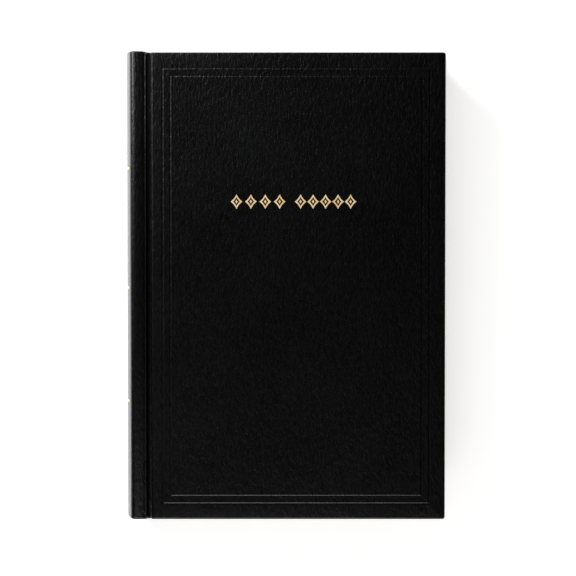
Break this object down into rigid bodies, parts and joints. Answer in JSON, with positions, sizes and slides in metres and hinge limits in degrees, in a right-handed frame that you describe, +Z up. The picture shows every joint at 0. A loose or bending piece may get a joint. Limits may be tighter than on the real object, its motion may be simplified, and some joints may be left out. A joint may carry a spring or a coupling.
{
  "type": "case-bound bible",
  "caption": "Thick hardback book in black leatherette with a tooled double border, rounded spine, sewn sections and covers that open.",
  "frame": {"origin": "under the middle of the closed book, on the outer face of the back cover", "axes": "+X to the fore edge, +Y to the head, +Z up through the front cover"},
  "size_m": [0.1516, 0.222, 0.036],
  "materials": {
    "leatherette": "fine-grained black leatherette, semi-matt",
    "greyboard": "plain grey binder's board",
    "endpaper": "plain off-white uncoated paper",
    "text_paper": "thin cream printing paper, cut smooth at the edges",
    "lining_paper": "brown kraft paper",
    "mull_cloth": "open-weave starched cotton",
    "band_cloth": "woven black and cream bead",
    "sewing_thread": "twisted thread",
    "gold_foil": "hot-stamped gold foil"
  },
  "bodies": {
    "back_cover": {"back_board": "greyboard", "back_cover_leatherette": "leatherette", "back_mull_flange": "mull_cloth", "back_pastedown": "endpaper"},
    "back_flyleaf": {"back_flyleaf": "endpaper"},
    "lower_leaves": {"section_10": "text_paper", "section_11": "text_paper", "section_12": "text_paper", "section_13": "text_paper", "section_14": "text_paper", "section_15": "text_paper", "section_16": "text_paper", "section_17": "text_paper", "section_18": "text_paper", "back_joint_leatherette": "leatherette"},
    "spine": {"spine_leatherette": "leatherette", "spine_inlay": "greyboard", "spine_lining": "lining_paper", "mull": "mull_cloth", "headband": "band_cloth", "tailband": "band_cloth", "sewing_thread_1": "sewing_thread", "sewing_thread_2": "sewing_thread", "sewing_thread_3": "sewing_thread", "sewing_thread_4": "sewing_thread", "sewing_thread_5": "sewing_thread", "spine_rule_1": "gold_foil", "spine_rule_2": "gold_foil", "spine_rule_3": "gold_foil"},
    "upper_leaves": {"section_01": "text_paper", "section_02": "text_paper", "section_03": "text_paper", "section_04": "text_paper", "section_05": "text_paper", "section_06": "text_paper", "section_07": "text_paper", "section_08": "text_paper", "section_09": "text_paper", "front_joint_leatherette": "leatherette"},
    "front_flyleaf": {"front_flyleaf": "endpaper"},
    "front_cover": {"front_board": "greyboard", "front_cover_leatherette": "leatherette", "front_mull_flange": "mull_cloth", "front_pastedown": "endpaper"}
  },
  "joints": [
    {"name": "back_cover_hinge", "type": "hinge", "parent": "back_cover", "child": "lower_leaves", "pos_m": [-0.0649, 0, -0.0003], "axis": [0, 1, 0], "range_deg": [-90, 0]},
    {"name": "back_flyleaf_hinge", "type": "hinge", "parent": "back_cover", "child": "back_flyleaf", "pos_m": [-0.0649, 0, -0.0003], "axis": [0, 1, 0], "range_deg": [-45, 0]},
    {"name": "spine_back_hinge", "type": "hinge", "parent": "lower_leaves", "child": "spine", "pos_m": [-0.0739, 0, 0.0026], "axis": [0, -1, 0], "range_deg": [0, 90]},
    {"name": "spine_front_hinge", "type": "hinge", "parent": "spine", "child": "upper_leaves", "pos_m": [-0.0739, 0, 0.0334], "axis": [0, -1, 0], "range_deg": [0, 90]},
    {"name": "front_flyleaf_hinge", "type": "hinge", "parent": "upper_leaves", "child": "front_flyleaf", "pos_m": [-0.0649, 0, 0.0363], "axis": [0, -1, 0], "range_deg": [0, 178]},
    {"name": "front_cover_hinge", "type": "hinge", "parent": "front_flyleaf", "child": "front_cover", "pos_m": [-0.0649, 0, 0.0363], "axis": [0, 1, 0], "range_deg": [-178, 0]}
  ],
  "couplings": [
    {"joint": "back_flyleaf_hinge", "follows": "back_cover_hinge", "ratio": 0.5}
  ]
}
